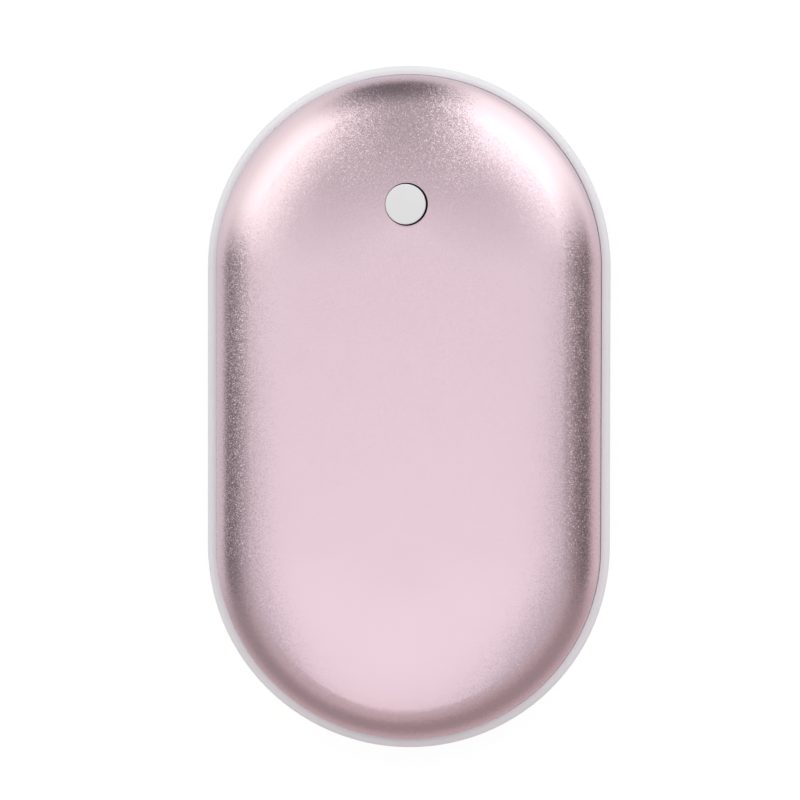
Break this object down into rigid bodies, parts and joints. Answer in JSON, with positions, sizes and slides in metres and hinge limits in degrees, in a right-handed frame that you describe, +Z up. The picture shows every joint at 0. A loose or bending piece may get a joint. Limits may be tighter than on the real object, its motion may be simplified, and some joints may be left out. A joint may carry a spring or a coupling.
{
  "type": "rechargeable hand warmer",
  "caption": "Pebble-shaped rechargeable hand warmer: two domed aluminium shells on a plastic frame, with a push button that travels and two charging ports.",
  "frame": {"origin": "under the middle of the body, on the surface that it lies on", "axes": "+Y towards the button end, along the length; +X along the width; +Z up, out of the front shell"},
  "size_m": [0.065, 0.11, 0.0273],
  "materials": {
    "shell_aluminium": "bead-blasted and anodised rose pink, fine sparkling grain",
    "frame_plastic": "moulded, satin, cool white",
    "button_plastic": "moulded, satin, cool white",
    "liner_plastic": "moulded, natural ABS",
    "adhesive": "cured adhesive, translucent white",
    "heater_film": "amber polyimide film with a copper track",
    "foam": "fine closed-cell foam",
    "cell_sleeve": "shrink sleeve, blue",
    "cell_card": "insulating card ring",
    "steel": "nickel-plated",
    "contact_gold": "gold-plated contact",
    "board": "green solder mask with copper tracks",
    "black_plastic": "moulded, black",
    "ceramic_part": "fired ceramic, tinned ends",
    "lead_red": "silicone insulation, red",
    "lead_black": "silicone insulation, black",
    "clear_plastic": "diffusing clear acrylic"
  },
  "bodies": {
    "housing": {"front_shell": "shell_aluminium", "rear_shell": "shell_aluminium", "front_shell_adhesive": "adhesive", "rear_shell_adhesive": "adhesive", "mid_frame": "frame_plastic", "front_liner": "liner_plastic", "rear_liner": "liner_plastic", "front_liner_screws": "steel", "rear_liner_screws": "steel", "front_heater_film": "heater_film", "rear_heater_film": "heater_film", "front_foam_sheet": "foam", "rear_foam_sheet": "foam", "front_thermistor": "black_plastic", "rear_thermistor": "black_plastic", "front_thermistor_leads": "lead_black", "rear_thermistor_leads": "lead_black", "front_heater_leads": "lead_red", "rear_heater_leads": "lead_red", "battery_cell_left": "cell_sleeve", "battery_cell_right": "cell_sleeve", "cell_caps": "steel", "cell_insulators": "cell_card", "positive_strip": "steel", "negative_strip": "steel", "battery_cradle": "liner_plastic", "battery_foam_pads": "foam", "battery_lead_red": "lead_red", "battery_lead_black": "lead_black", "circuit_board": "board", "board_screws": "steel", "switch_body": "black_plastic", "switch_cover": "steel", "switch_terminals": "steel", "usb_a_shell": "steel", "usb_a_tongue": "frame_plastic", "usb_a_contacts": "contact_gold", "micro_usb_shell": "steel", "micro_usb_tongue": "black_plastic", "light_guide": "clear_plastic", "charge_leds": "clear_plastic", "power_inductor": "black_plastic", "control_chip": "black_plastic", "transistors": "black_plastic", "capacitors": "ceramic_part", "resistors": "black_plastic"},
    "button": {"power_button": "button_plastic"},
    "plunger": {"switch_plunger": "black_plastic"}
  },
  "joints": [
    {"name": "button_press", "type": "slide", "parent": "housing", "child": "button", "axis": [0, 0, -1], "range_m": [0, 0.0003], "stiffness_N_per_m": 6000},
    {"name": "plunger_press", "type": "slide", "parent": "housing", "child": "plunger", "axis": [0, 0, -1], "range_m": [0, 0.0003]}
  ],
  "couplings": [
    {"joint": "plunger_press", "follows": "button_press", "ratio": 1}
  ]
}
